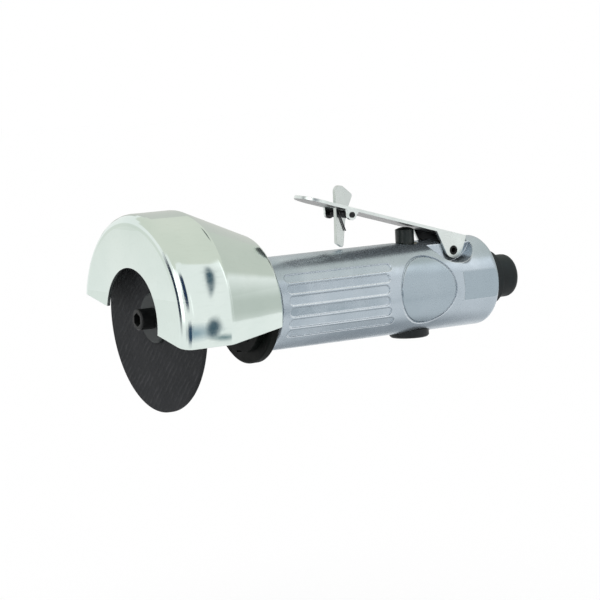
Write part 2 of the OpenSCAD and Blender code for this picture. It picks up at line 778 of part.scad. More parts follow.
// A latch spring winds round the latch's pin, with one leg under the lever and one along the strut
function latch_spring_path() =
    let (
        r = latch_coil_d / 2,
        y_inner = -latch_t / 2 - latch_wire_d / 2 - part_gap - running_gap,
        from = 90 - lever_tilt,
        to = 360 * latch_turns + 180 + latch_leg_angle,
        count = ceil((to - from) / 360 * coil_rings),
        coil = [
            for (i = [0:count])
                let (a = from + (to - from) * i / count)
                [r * cos(a), y_inner - latch_pitch * (to - a) / 360, r * sin(a)]
        ],
        leg_in = [sin(from), 0, -cos(from)],
        leg_out = [-sin(to), 0, cos(to)]
    )
    concat(
        [coil[0] + lever_leg * leg_in, coil[0] + lever_leg / 2 * leg_in],
        coil,
        [coil[count] + latch_leg / 2 * leg_out, coil[count] + latch_leg * leg_out]
    );

module latch_springs() {
    path = latch_spring_path();
    echo(latch_spring_gap = wire_gap(path, latch_wire_d, coil_rings - 1));
    color("gray")
        translate([x_latch, 0, z_latch]) {
            wire(path, latch_wire_d, [0, 1, 0]);
            mirror([0, 1, 0])
                wire(path, latch_wire_d, [0, 1, 0]);
        }
}

module valve_bushing() {
    color("darkgoldenrod")
        difference() {
            rod_z(bush_d, z_bush_low, z_bush_top);
            rod_z(plunger_d + 2 * running_gap, z_bush_low - cut, z_bush_top + cut);
        }
}

// The plunger's groove for its seal, and the seal, at the middle of the bushing
z_plunger_seal = (z_bush_top + z_bush_low) / 2;
plunger_groove_r = plunger_d / 2 - seal_t - running_gap;

module valve_plunger() {
    dome_edge = asin(plunger_d / 2 / plunger_dome);
    groove_w = seal_t + 2 * running_gap;
    color("black")
        translate([x_valve, 0, 0])
            rotate_extrude()
                polygon(concat(
                    [
                        [0, z_plunger_low], [plunger_d / 2, z_plunger_low],
                        [plunger_d / 2, z_plunger_seal - groove_w / 2],
                        [plunger_groove_r, z_plunger_seal - groove_w / 2],
                        [plunger_groove_r, z_plunger_seal + groove_w / 2],
                        [plunger_d / 2, z_plunger_seal + groove_w / 2]
                    ],
                    arc([0, z_dome], plunger_dome, 90 - dome_edge, 90)
                ));
}

module plunger_seal() {
    color("dimgray")
        translate([x_valve, 0, z_plunger_seal])
            seal_ring(plunger_d - seal_t, seal_t);
}

module valve_head() {
    color("darkgoldenrod") {
        rod_z(head_d, z_head_low, z_head_top);
        rod_z(stem_d, z_head_low, z_plunger_low);
    }
}

module valve_washer() {
    color("black")
        difference() {
            rod_z(head_d, z_head_top, z_washer);
            rod_z(stem_d + 2 * seat_gap, z_head_top - cut, z_washer + cut);
        }
}

// The valve's spring stands in the regulator's well and carries the valve's head
function valve_spring_path() =
    let (
        from = z_well + valve_wire_d / 2 + running_gap,
        to = z_head_low - valve_wire_d / 2 - running_gap,
        count = valve_turns * coil_rings
    )
    [
        for (i = [0:count])
            let (a = 360 * i / coil_rings)
            [valve_coil_d / 2 * cos(a), valve_coil_d / 2 * sin(a), from + (to - from) * i / count]
    ];

module valve_spring() {
    path = valve_spring_path();
    echo(valve_spring_gap = wire_gap(path, valve_wire_d, coil_rings - 1));
    color("gray")
        translate([x_valve, 0, 0])
            wire(path, valve_wire_d, [0, 0, 1]);
}

// The regulator's groove for its seal, and the seal, at the middle of its plug
z_regulator_seal = (z_plug_low + z_plug_top) / 2;

module air_regulator() {
    groove_d = plug_d - 2 * (seal_t + running_gap);
    groove_w = seal_t + 2 * running_gap;
    clip_groove_d = spring_well_d + 4 * clip_t / 3;
    z_knob_low = -housing_r - knob_reach;
    knob_edge = knob_reach / 3;
    color("black")
        difference() {
            union() {
                rod_z(knob_d, z_knob_low + knob_edge, z_plug_low);
                translate([x_valve, 0, z_knob_low])
                    cylinder(d1 = knob_d - 2 * knob_edge, d2 = knob_d, h = knob_edge);
                rod_z(plug_d, z_plug_low - cut, z_plug_top);
                rod_z(clip_groove_d, z_plug_top - cut, z_sleeve);
                rod_z(plug_d, z_clip_top + running_gap, z_sleeve + sleeve_h);
            }
            rod_z(spring_well_d, z_well, z_sleeve + cut);
            rod_z(head_d + 2 * part_gap, z_sleeve, z_sleeve + sleeve_h + cut);
            translate([x_valve, -plug_d, z_sleeve])
                cube([plug_d, 2 * plug_d, sleeve_h + cut]);
            translate([x_valve, 0, z_regulator_seal - groove_w / 2])
                difference() {
                    cylinder(d = plug_d + cut, h = groove_w);
                    cylinder(d = groove_d, h = groove_w);
                }
            translate([x_valve - knob_d / 3, -knob_slot_w / 2, z_knob_low - cut])
                cube([2 * knob_d / 3, knob_slot_w, knob_slot_depth + cut]);
        }
}

module regulator_seal() {
    color("dimgray")
        translate([x_valve, 0, z_regulator_seal])
            seal_ring(plug_d - seal_t, seal_t);
}

module regulator_clip() {
    clip_bore = spring_well_d + 4 * clip_t / 3 + 2 * seat_gap;
    clip_d = chamber_bore_d - 2 * part_gap;
    color("gray")
        difference() {
            rod_z(clip_d, z_plug_top, z_clip_top);
            rod_z(clip_bore, z_plug_top - cut, z_clip_top + cut);
            translate([x_valve, -clip_bore / 3, z_plug_top - cut])
                cube([clip_d, 2 * clip_bore / 3, clip_t + 2 * cut]);
        }
}

// Ball bearings: two rings with a round track for the balls between them
function ball_d(id, od) = (od - id) * ball_share;
function pitch_d(id, od) = (od + id) / 2;

module ball_track(id, od, w, x) {
    translate([x + w / 2, 0, 0])
        rotate([0, 90, 0])
            seal_ring(pitch_d(id, od), ball_d(id, od) + 2 * running_gap);
}

module bearing_outer(id, od, w, x) {
    color("lightgray")
        difference() {
            tube_x(od, pitch_d(id, od) + ball_d(id, od) * ring_gap_share, x, x + w);
            ball_track(id, od, w, x);
        }
}

module bearing_inner(id, od, w, x) {
    color("lightgray")
        difference() {
            tube_x(pitch_d(id, od) - ball_d(id, od) * ring_gap_share, id + 2 * seat_gap, x, x + w);
            ball_track(id, od, w, x);
        }
}

module bearing_balls(id, od, w, x) {
    color("white")
        for (i = [0:ball_count - 1])
            rotate([360 * i / ball_count, 0, 0])
                translate([x + w / 2, 0, pitch_d(id, od) / 2])
                    sphere(d = ball_d(id, od), $fn = 32);
}

x_front_bearing = x_plate_front;
x_rear_bearing = x_bore_end - rear_bearing_w;

module rear_bearing_outer() bearing_outer(rear_bearing_id, rear_bearing_od, rear_bearing_w, x_rear_bearing);
module rear_bearing_balls() bearing_balls(rear_bearing_id, rear_bearing_od, rear_bearing_w, x_rear_bearing);
module rear_bearing_inner() bearing_inner(rear_bearing_id, rear_bearing_od, rear_bearing_w, x_rear_bearing);
module front_bearing_outer() bearing_outer(front_bearing_id, front_bearing_od, front_bearing_w, x_front_bearing);
module front_bearing_balls() bearing_balls(front_bearing_id, front_bearing_od, front_bearing_w, x_front_bearing);
module front_bearing_inner() bearing_inner(front_bearing_id, front_bearing_od, front_bearing_w, x_front_bearing);

// The dowel lies in the thick side of the liner's wall and reaches into the rear end plate
z_dowel = (liner_bore_d / 2 - liner_offset + motor_r) / 2;

module dowel_hole() {
    rod_x(dowel_d + 2 * seat_gap, x_liner_rear - dowel_len / 2 - part_gap,
        x_liner_rear + dowel_len / 2 + part_gap, z = z_dowel);
}

module rear_end_plate() {
    air_hole_z = (rear_bearing_od / 2 + chamber_d / 2) / 2;
    air_hole_d = (chamber_d - rear_bearing_od) / 3;
    color("tan")
        difference() {
            tube_x(2 * motor_r, rear_bearing_id + 4 * part_gap, x_liner_rear, x_bore_end);
            rod_x(rear_bearing_od + 2 * seat_gap, x_rear_bearing, x_bore_end + cut);
            dowel_hole();
            for (angle = [120, 180, 240])
                rotate([angle, 0, 0])
                    rod_x(air_hole_d, x_liner_rear - cut, x_bore_end + cut, z = air_hole_z);
        }
}

module cylinder_liner() {
    port_d = liner_len / 10;
    color("gray")
        difference() {
            rod_x(2 * motor_r, x_liner_front, x_liner_rear);
            rod_x(liner_bore_d, x_liner_front - cut, x_liner_rear + cut, z = -liner_offset);
            dowel_hole();
            for (i = [1:4])
                rod_y(port_d, x_liner_front + liner_len * i / 5, -liner_offset, 0, motor_bore_d);
        }
}

module liner_dowel() {
    color("lightgray")
        rod_x(dowel_d, x_liner_rear - dowel_len / 2, x_liner_rear + dowel_len / 2, z = z_dowel);
}

module vane_slot(t, from, to, x0, x1) {
    for (i = [0:vane_count - 1])
        rotate([360 * i / vane_count + 45, 0, 0])
            translate([x0, -t / 2, from])
                cube([x1 - x0, t, to - from]);
}

module rotor() {
    x0 = x_liner_front + rotor_gap;
    x1 = x_liner_rear - rotor_gap;
    color("slategray")
        difference() {
            union() {
                rod_x(2 * rotor_r, x0, x1);
                rod_x(2 * shaft_r, x_shaft_front, x0 + cut);
                rod_x(2 * journal_r, x1 - cut, x_bore_end - part_gap);
            }
            vane_slot(vane_t + 2 * running_gap, rotor_r - vane_h - running_gap, 2 * rotor_r, x0 - cut, x1 + cut);
            rod_x(screw_d + 2 * seat_gap, x_shaft_front - cut, x_shaft_front + screw_grip + part_gap);
        }
}

module rotor_vanes() {
    x0 = x_liner_front + rotor_gap;
    x1 = x_liner_rear - rotor_gap;
    color("saddlebrown")
        intersection() {
            vane_slot(vane_t, rotor_r - vane_h, 2 * rotor_r, x0, x1);
            rod_x(2 * rotor_r, x0 - cut, x1 + cut);
        }
}

// Air holes on a circle between the front bearing and the housing's bore
module exhaust_ring(x0, x1) {
    hole_ring_r = motor_r - exhaust_hole_d / 2 - running_gap;
    for (i = [0:exhaust_holes - 1])
        rotate([360 * (i + 0.5) / exhaust_holes, 0, 0])
            rod_x(exhaust_hole_d, x0, x1, z = hole_ring_r - running_gap);
}

module front_end_plate() {
    color("tan")
        difference() {
            tube_x(2 * motor_r, 2 * shaft_r + 4 * part_gap, x_plate_front, x_liner_front);
            rod_x(front_bearing_od + 2 * seat_gap, x_plate_front - cut, x_plate_front + front_bearing_w);
        }
}

module clamp_nut() {
    neck_r = nut_neck_d / 2;
    lip_r = spacer_d / 2 + 2 * part_gap;
    x_lip = x_nut_front + nut_lip_len;
    color("black")
        difference() {
            turn_x([
                [lip_r, x_nut_front], [nut_flange_d / 2, x_nut_front],
                [nut_flange_d / 2, x_nut_front + nut_flange_t], [neck_r, x_nut_front + nut_flange_t],
                [neck_r, x_front], [motor_r, x_front], [motor_r, x_plate_front],
                [nut_bore_d / 2, x_plate_front], [nut_bore_d / 2, x_lip], [lip_r, x_lip]
            ]);
            exhaust_ring(x_nut_front - cut, x_plate_front + cut);
            for (i = [0:3])
                rotate([90 * i, 0, 0])
                    translate([x_nut_front - cut, -nut_key_w / 2, (nut_flange_d + nut_neck_d) / 4])
                        cube([nut_flange_t + cut, nut_key_w, nut_flange_d]);
        }
}

module friction_ring() {
    color("dimgray")
        tube_x(
            housing_d - 2 * front_chamfer, nut_neck_d + 2 * running_gap,
            x_collar_rear + guard_play, x_front - guard_play
        );
}

module guard_collar() {
    edge = guard_sheet / 3;
    bore_r = nut_neck_d / 2 + running_gap;
    color("black")
        turn_x([
            [bore_r, x_collar_front], [collar_r - edge, x_collar_front], [collar_r, x_collar_front + edge],
            [collar_r, x_collar_rear - edge], [collar_r - edge, x_collar_rear], [bore_r, x_collar_rear]
        ]);
}

// The guard's bent outline at a depth under its outer skin, as radius and place along the axis
function guard_line(depth) =
    let (
        x_face = x_wheel - guard_front,
        x_edge = x_wheel + guard_shoulder,
        slope = atan((guard_r - guard_rear_r) / (x_guard_rear - x_edge)),
        front_mid = [guard_r - guard_front_bend, x_face + guard_front_bend],
        edge_mid = [guard_r - guard_shoulder_bend, x_edge - guard_shoulder_bend * tan(slope / 2)],
        rear_mid = [guard_rear_r - guard_rear_bend * tan(45 - slope / 2), x_guard_rear - guard_rear_bend]
    )
    concat(
        [[guard_arch_d / 2, x_face + depth]],
        arc(front_mid, guard_front_bend - depth, -90, 0),
        arc(edge_mid, guard_shoulder_bend - depth, 0, slope),
        arc(rear_mid, guard_rear_bend - depth, slope, 90),
        [[collar_r + seat_gap, x_guard_rear - depth]]
    );

module guard_shell() {
    skin = guard_line(0);
    lining = guard_line(guard_sheet);
    color("whitesmoke")
        rotate([guard_turn, 0, 0])
            rotate([0, 90, 0])
                rotate([0, 0, 90])
                    rotate_extrude(angle = 180)
                        polygon(concat(skin, [for (i = [len(lining) - 1:-1:0]) lining[i]]));
}

module spindle_spacer() {
    color("gray")
        tube_x(spacer_d, 2 * shaft_r + 2 * seat_gap, x_hub_rear, x_plate_front);
}

module inner_flange() {
    pilot_r = wheel_bore_d / 2 - running_gap;
    hole_r = screw_d / 2 + part_gap;
    color("gray")
        difference() {
            turn_x([
                [hole_r, x_wheel_front + part_gap], [pilot_r, x_wheel_front + part_gap], [pilot_r, x_wheel_rear],
                [flange_d / 2, x_wheel_rear], [flange_d / 2, x_flange_rear], [hub_d / 2, x_flange_rear],
                [hub_d / 2, x_hub_rear], [shaft_r + seat_gap, x_hub_rear], [shaft_r + seat_gap, x_flange_rear],
                [hole_r, x_flange_rear]
            ]);
            for (side = [-1, 1])
                translate([x_flange_rear + hub_len / 4, side * (hub_flats + hub_d) / 2 - hub_d / 2, -hub_d / 2])
                    cube([hub_len / 2, hub_d, hub_d]);
        }
}

module cutting_wheel() {
    color("darkslategray")
        tube_x(wheel_d, wheel_bore_d, x_wheel_front, x_wheel_rear);
}

module outer_flange() {
    edge = outer_flange_t / 3;
    bore_r = screw_d / 2 + part_gap;
    color("gray")
        turn_x([
            [bore_r, x_flange_front], [flange_d / 2 - edge, x_flange_front],
            [flange_d / 2, x_flange_front + edge], [flange_d / 2, x_wheel_front], [bore_r, x_wheel_front]
        ]);
}

module clamp_screw() {
    x_head = x_flange_front - screw_head_len;
    edge = screw_head_d / 20;
    head_r = screw_head_d / 2;
    color("black")
        difference() {
            turn_x([
                [0, x_head], [head_r - edge, x_head], [head_r, x_head + edge], [head_r, x_flange_front],
                [screw_d / 2, x_flange_front], [screw_d / 2, x_shaft_front + screw_grip],
                [0, x_shaft_front + screw_grip]
            ]);
            translate([x_head - cut, 0, 0])
                rotate([0, 90, 0])
                    cylinder(d = screw_hex / cos(30), h = screw_hex_depth + cut, $fn = 6);
        }
}

housing();
inlet_bushing();
inlet_seal();
inlet_screen();
throttle_lever();
lever_pin();
safety_latch();
latch_pin();
latch_springs();
valve_bushing();
valve_plunger();
plunger_seal();
valve_head();
valve_washer();
valve_spring();
air_regulator();
regulator_seal();
regulator_clip();
rear_bearing_outer();
rear_bearing_balls();
rear_bearing_inner();
rear_end_plate();
cylinder_liner();
liner_dowel();
rotor();
rotor_vanes();
front_end_plate();
front_bearing_outer();
front_bearing_balls();
front_bearing_inner();
clamp_nut();
friction_ring();
guard_collar();
guard_shell();
spindle_spacer();
inner_flange();
cutting_wheel();
outer_flange();
clamp_screw();
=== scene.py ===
import json
import math

import bpy
from mathutils import Matrix, Vector


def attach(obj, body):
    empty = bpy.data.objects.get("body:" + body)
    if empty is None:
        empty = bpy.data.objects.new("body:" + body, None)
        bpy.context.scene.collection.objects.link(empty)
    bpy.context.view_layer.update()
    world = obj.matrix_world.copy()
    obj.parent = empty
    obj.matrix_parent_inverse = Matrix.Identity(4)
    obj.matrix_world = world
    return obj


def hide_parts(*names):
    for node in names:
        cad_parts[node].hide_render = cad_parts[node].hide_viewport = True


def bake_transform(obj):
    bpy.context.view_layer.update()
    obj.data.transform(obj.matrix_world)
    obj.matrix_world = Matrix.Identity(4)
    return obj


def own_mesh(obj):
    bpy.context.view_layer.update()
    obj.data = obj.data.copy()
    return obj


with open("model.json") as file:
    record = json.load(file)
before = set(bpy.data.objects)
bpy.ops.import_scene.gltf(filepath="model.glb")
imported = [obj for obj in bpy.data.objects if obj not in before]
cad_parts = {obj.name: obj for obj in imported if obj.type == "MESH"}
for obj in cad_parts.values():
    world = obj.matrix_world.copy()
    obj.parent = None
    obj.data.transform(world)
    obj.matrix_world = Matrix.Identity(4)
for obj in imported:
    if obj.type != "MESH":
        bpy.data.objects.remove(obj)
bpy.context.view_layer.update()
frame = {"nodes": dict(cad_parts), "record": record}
nodes = frame["nodes"]
scene = bpy.context.scene
MM = 0.001

# Places on the CAD pieces that the materials refer to. None is the axis that a line runs along.
EMBLEM_AXIS = (-54.7 * MM, None, 0)
EMBLEM_RIM = (13.7 * MM, 13.9 * MM)
# Line and rim of the ring of painted shade on the housing round the lever's ears.
EAR_SHADE_AXIS = (-34.2 * MM, None, 14.1 * MM)
EAR_SHADE_RIM = (4.6 * MM, 5.3 * MM)
FLAT_X, FLAT_Y, FLAT_HALF = -27 * MM, 18.15 * MM, 9.6 * MM
DRUM_X = (-183 * MM, -163 * MM)
DRUM_CROWN_Z = (10 * MM, 36 * MM)
LEVER_UNDERSIDE = (-0.2823, 0, -0.9593)


# Materials: each is a Principled shader with noise in its colour, roughness and bump.

NOISE_LOW, NOISE_HIGH = 0.3, 0.7  # most of a noise's values lie between these


class Nodes:
    """A node tree that is built step by step."""

    def __init__(self, tree):
        self.tree = tree

    def node(self, kind, **values):
        made = self.tree.nodes.new(kind)
        for key, value in values.items():
            setattr(made, key, value)
        return made

    def link(self, a, b):
        self.tree.links.new(a, b)

    def calc(self, kind, a, b=0.0):
        """A math node on sockets or numbers."""
        tool = self.node("ShaderNodeMath", operation=kind)
        for socket, value in zip(tool.inputs, (a, b)):
            if isinstance(value, (int, float)):
                socket.default_value = value
            else:
                self.link(value, socket)
        return tool.outputs["Value"]

    def mix_shaders(self, fac, first, second):
        """The first shader where fac is 0, the second where it is 1."""
        tool = self.node("ShaderNodeMixShader")
        self.link(fac, tool.inputs["Fac"])
        self.link(first, tool.inputs[1])
        self.link(second, tool.inputs[2])
        return tool.outputs["Shader"]


class Shader(Nodes):
    """A material, which starts as one Principled shader."""

    def __init__(self, name):
        self.mat = bpy.data.materials.new(name)
        self.mat.use_nodes = True
        super().__init__(self.mat.node_tree)
        self.bsdf = self.tree.nodes["Principled BSDF"]
        self.place = self.node("ShaderNodeTexCoord").outputs

    def surface(self, shader):
        """Shows another shader in place of the Principled one."""
        self.link(shader, self.tree.nodes["Material Output"].inputs["Surface"])
        self.tree.nodes.remove(self.bsdf)

    def put(self, name, value):
        """Sets or links one of the Principled shader's sockets."""
        socket = self.bsdf.inputs[name]
        if isinstance(value, tuple):
            socket.default_value = (*value, 1)
        elif isinstance(value, (int, float)):
            socket.default_value = value
        else:
            self.link(value, socket)

    def noise(self, size, detail=3.0, rough=0.5, stretch=(1, 1, 1)):
        """Noise whose blots are about size metres wide."""
        mapping = self.node("ShaderNodeMapping")
        mapping.inputs["Scale"].default_value = stretch
        self.link(self.place["Object"], mapping.inputs["Vector"])
        tex = self.node("ShaderNodeTexNoise")
        tex.inputs["Scale"].default_value = 1.0 / size
        tex.inputs["Detail"].default_value = detail
        tex.inputs["Roughness"].default_value = rough
        self.link(mapping.outputs["Vector"], tex.inputs["Vector"])
        return tex.outputs["Fac"]

    def wave(self, size, turn, warp):
        """Parallel lines size metres apart, turned about X."""
        mapping = self.node("ShaderNodeMapping")
        mapping.inputs["Rotation"].default_value = (math.radians(turn), 0, 0)
        self.link(self.place["Object"], mapping.inputs["Vector"])
        tex = self.node("ShaderNodeTexWave", wave_type="BANDS", bands_direction="Y")
        tex.inputs["Scale"].default_value = 2 * math.pi / 20 / size
        tex.inputs["Distortion"].default_value = warp
        tex.inputs["Detail Scale"].default_value = 1.5
        self.link(mapping.outputs["Vector"], tex.inputs["Vector"])
        return tex.outputs["Fac"]

    def spread(self, fac, low, high, from_low=NOISE_LOW, from_high=NOISE_HIGH):
        """Maps from_low..from_high to low..high, and stops at both ends."""
        tool = self.node("ShaderNodeMapRange")
        tool.inputs["From Min"].default_value = from_low
        tool.inputs["From Max"].default_value = from_high
        tool.inputs["To Min"].default_value = low
        tool.inputs["To Max"].default_value = high
        self.link(fac, tool.inputs["Value"])
        return tool.outputs["Result"]

    def mix(self, fac, a, b):
        """Colour a where fac is 0, colour b where it is 1."""
        tool = self.node("ShaderNodeMix", data_type="RGBA")
        self.link(fac, tool.inputs["Factor"])
        for key, value in (("A", a), ("B", b)):
            socket = [s for s in tool.inputs if s.name == key and s.type == "RGBA"][0]
            if isinstance(value, tuple):
                socket.default_value = (*value, 1)
            else:
                self.link(value, socket)
        return [s for s in tool.outputs if s.type == "RGBA"][0]

    def axis(self, name, kind="Object"):
        """One part of the place in the piece's own frame, or of its normal there."""
        tool = self.node("ShaderNodeSeparateXYZ")
        self.link(self.place[kind], tool.inputs["Vector"])
        return tool.outputs[name]

    def band(self, name, middle, half):
        """1 where the size of one coordinate is close to a middle, else 0."""
        size = self.calc("ABSOLUTE", self.axis(name))
        away = self.calc("ABSOLUTE", self.calc("SUBTRACT", size, abs(middle)))
        return self.spread(away, 1.0, 0.0, half, 1.25 * half)

    def distance(self, line):
        """Distance from a line along the axis that has no coordinate."""
        squares = []
        for name, value in zip("XYZ", line):
            if value is not None:
                off = self.calc("SUBTRACT", self.axis(name), value)
                squares.append(self.calc("MULTIPLY", off, off))
        return self.calc("SQRT", self.calc("ADD", *squares))

    def facing(self, direction):
        """How far the piece's own normal points in a direction."""
        tool = self.node("ShaderNodeVectorMath", operation="DOT_PRODUCT")
        self.link(self.place["Normal"], tool.inputs[0])
        tool.inputs[1].default_value = direction
        return tool.outputs["Value"]

    def rounded(self, radius, samples=6):
        """The normal, with edges rounded to a radius."""
        bevel = self.node("ShaderNodeBevel", samples=samples)
        bevel.inputs["Radius"].default_value = radius
        return bevel.outputs["Normal"]

    def against_face(self, operation, normal):
        """A vector node on a normal and the face's own."""
        tool = self.node("ShaderNodeVectorMath", operation=operation)
        self.link(normal, tool.inputs[0])
        self.link(self.node("ShaderNodeNewGeometry").outputs["Normal"], tool.inputs[1])
        return tool.outputs

    def edges(self, radius):
        """1 on sharp edges, 0 on faces: how far the rounded normal leaves the face's own."""
        dot = self.against_face("DOT_PRODUCT", self.rounded(radius))
        return self.spread(dot["Value"], 1.0, 0.0, 0.75, 0.99)

    def lip_light_and_shade(self, radius):
        """Above 0 on edges that turn up, below 0 on edges that turn down; the alloy uses it to
        paint highlight and shade.
        """
        turn = self.against_face("SUBTRACT", self.rounded(radius, 8))
        parts = self.node("ShaderNodeSeparateXYZ")
        self.link(turn["Vector"], parts.inputs["Vector"])
        return parts.outputs["Z"]

    def bump(self, heights, radius):
        """Bump of (height socket, metres) pairs over rounded edges."""
        normal = self.rounded(radius)
        for height, depth in heights:
            tool = self.node("ShaderNodeBump")
            tool.inputs["Strength"].default_value = 1.0
            tool.inputs["Distance"].default_value = depth
            self.link(height, tool.inputs["Height"])
            self.link(normal, tool.inputs["Normal"])
            normal = tool.outputs["Normal"]
        self.link(normal, self.bsdf.inputs["Normal"])


def lighter(colour, times):
    return tuple(min(1, c * times) for c in colour)


def cast_alloy():
    """Cast and tumbled alloy. The milled flats and the emblem's place are a little darker, a ring
    of painted shade lies round the lever's ears, and edges that turn up carry a painted highlight
    while edges that turn down carry painted shade."""
    s = Shader("cast_alloy")
    grain = s.noise(0.5 * MM, 4, 0.6)
    blots = s.noise(9 * MM, 3)
    clouds = s.noise(22 * MM, 2, 0.5, (1.4, 1, 0.5))
    base = s.mix(s.spread(clouds, 0, 1), (0.47, 0.545, 0.605), (0.57, 0.64, 0.70))
    base = s.mix(s.spread(blots, 0, 0.35), base, (0.43, 0.50, 0.55))
    base = s.mix(s.spread(grain, 0, 0.08), base, (0.38, 0.44, 0.48))
    flats = s.calc("MULTIPLY", s.band("Y", FLAT_Y, 0.04 * MM), s.band("X", FLAT_X, FLAT_HALF))
    emblem = s.spread(s.distance(EMBLEM_AXIS), 0.6, 0.0, *EMBLEM_RIM)
    milled = s.calc("MAXIMUM", s.calc("MULTIPLY", flats, 0.75), emblem)
    base = s.mix(milled, base, (0.35, 0.43, 0.48))
    # Painted shade: the housing goes nearly black in a ring round each of the lever's ears.
    painted_ear_shade = s.spread(s.distance(EAR_SHADE_AXIS), 0.85, 0.0, *EAR_SHADE_RIM)
    base = s.mix(painted_ear_shade, base, (0.05, 0.06, 0.065))
    # Painted highlight on edges that turn up and painted shade on edges that turn down, as light
    # from above gives.
    lip_light_and_shade = s.lip_light_and_shade(0.8 * MM)
    base = s.mix(s.spread(lip_light_and_shade, 0.0, 1.0, 0.03, 0.35), base, (0.86, 0.92, 0.97))
    base = s.mix(s.spread(lip_light_and_shade, 0.4, 0.0, -0.5, -0.05), base, (0.16, 0.19, 0.22))
    s.put("Base Color", base)
    s.put("Metallic", 0.8)
    s.put("Roughness", s.spread(s.noise(3 * MM, 4), 0.22, 0.30))
    s.bump([(grain, 0.003 * MM), (blots, 0.06 * MM)], 0.6 * MM)
    return s.mat


def bright_zinc():
    """Bright plated sheet, a little crowned between its two bends."""
    s = Shader("bright_zinc")
    blots = s.noise(24 * MM, 2)
    scuffs = s.noise(1.6 * MM, 5, 0.6, (0.25, 1, 1))
    base = s.mix(s.spread(blots, 0, 1), (0.70, 0.79, 0.75), (0.76, 0.84, 0.80))
    base = s.mix(s.spread(scuffs, 0.0, 0.15, 0.5, 0.75), base, (0.58, 0.65, 0.60))
    base = s.mix(s.calc("MULTIPLY", s.edges(0.5 * MM), 0.6), base, (0.90, 0.93, 0.91))
    s.put("Base Color", base)
    s.put("Metallic", 1.0)
    s.put("Roughness", s.spread(scuffs, 0.06, 0.13))
    across = s.spread(s.axis("X"), -1, 1, *DRUM_X)
    fall = s.spread(s.axis("Z"), -1, 0, *DRUM_CROWN_Z)
    crown = s.calc("MULTIPLY", s.calc("MULTIPLY", across, across), fall)
    s.bump([(crown, 0.7 * MM), (blots, 0.12 * MM), (scuffs, 0.001 * MM)], 0.5 * MM)
    return s.mat


def nickel(name, base, inside=False):
    """Satin nickel. With inside set, the lever's underside is matt and non-metallic in a dark grey
    that is painted shade, and its faces between its ears are painted black as painted shade.
    """
    s = Shader(name)
    brush = s.noise(0.9 * MM, 4, 0.6, (0.12, 1, 1))
    blots = s.noise(7 * MM, 2)
    base = s.mix(s.spread(blots, 0, 1), base, lighter(base, 1.09))
    base = s.mix(s.calc("MULTIPLY", s.edges(0.25 * MM), 0.5), base, (0.93, 0.95, 0.94))
    if inside:
        # Painted shade: faces turned in between the ears go nearly black, and the underside goes a
        # matt dark grey.
        turned_in = s.calc("MULTIPLY", s.axis("Y", "Normal"), s.axis("Y"))
        between = s.spread(turned_in, 1.0, 0.0, -7 * MM, -4 * MM)
        under = s.spread(s.facing(LEVER_UNDERSIDE), 0.0, 1.0, 0.6, 0.9)
        dull_and_shaded = s.calc("MAXIMUM", under, between)
        grain = s.spread(s.noise(2 * MM, 3), 0, 1)
        grey = s.mix(grain, (0.09, 0.095, 0.095), (0.15, 0.155, 0.155))
        black = s.mix(grain, (0.012, 0.014, 0.014), (0.022, 0.025, 0.025))
        base = s.mix(between, s.mix(dull_and_shaded, base, grey), black)
        s.put("Metallic", s.spread(dull_and_shaded, 1.0, 0.0, 0.0, 1.0))
    else:
        s.put("Metallic", 1.0)
    s.put("Base Color", base)
    s.put("Roughness", s.spread(brush, 0.26, 0.31))
    s.bump([(brush, 0.0001 * MM), (blots, 0.02 * MM)], 0.25 * MM)
    return s.mat


def black_steel(name, base, rough, edge, shine=0.28):
    """Blackened steel; edge is how far its edges are worn to grey."""
    s = Shader(name)
    grain = s.noise(0.7 * MM, 4, 0.6)
    blots = s.noise(4 * MM, 3)
    colour = s.mix(s.spread(blots, 0, 1), base, lighter(base, 1.7))
    colour = s.mix(s.calc("MULTIPLY", s.edges(0.25 * MM), edge), colour, (0.17, 0.17, 0.175))
    s.put("Base Color", colour)
    s.put("Metallic", 0.0)
    s.put("Specular IOR Level", shine)
    s.put("Roughness", s.spread(blots, rough - 0.07, rough + 0.07))
    s.bump([(grain, 0.006 * MM)], 0.25 * MM)
    return s.mat


def turned(name, base, rough):
    """Machined metal with fine rings about the tool's axis."""
    s = Shader(name)
    rings = s.noise(0.25 * MM, 2, 0.5, (1, 0.08, 0.08))
    blots = s.noise(5 * MM, 3)
    s.put("Base Color", s.mix(s.spread(blots, 0, 1), base, lighter(base, 1.25)))
    s.put("Metallic", 0.9)
    s.put("Roughness", s.spread(rings, rough - 0.08, rough + 0.08))
    s.bump([(rings, 0.006 * MM)], 0.2 * MM)
    return s.mat


def rubber():
    """Black seal rubber."""
    s = Shader("seal_rubber")
    grain = s.noise(0.6 * MM, 4)
    colour = s.mix(s.spread(grain, 0, 1), (0.012, 0.012, 0.013), (0.03, 0.03, 0.031))
    s.put("Base Color", colour)
    s.put("Roughness", s.spread(grain, 0.6, 0.8))
    s.bump([(grain, 0.02 * MM)], 0.15 * MM)
    return s.mat


def fibre():
    """Brown laminate with threads."""
    s = Shader("fibre_laminate")
    threads = s.noise(0.6 * MM, 4, 0.6, (0.2, 1, 1))
    colour = s.mix(s.spread(threads, 0, 1), (0.10, 0.065, 0.035), (0.19, 0.13, 0.075))
    s.put("Base Color", colour)
    s.put("Roughness", s.spread(threads, 0.55, 0.75))
    s.bump([(threads, 0.03 * MM)], 0.15 * MM)
    return s.mat


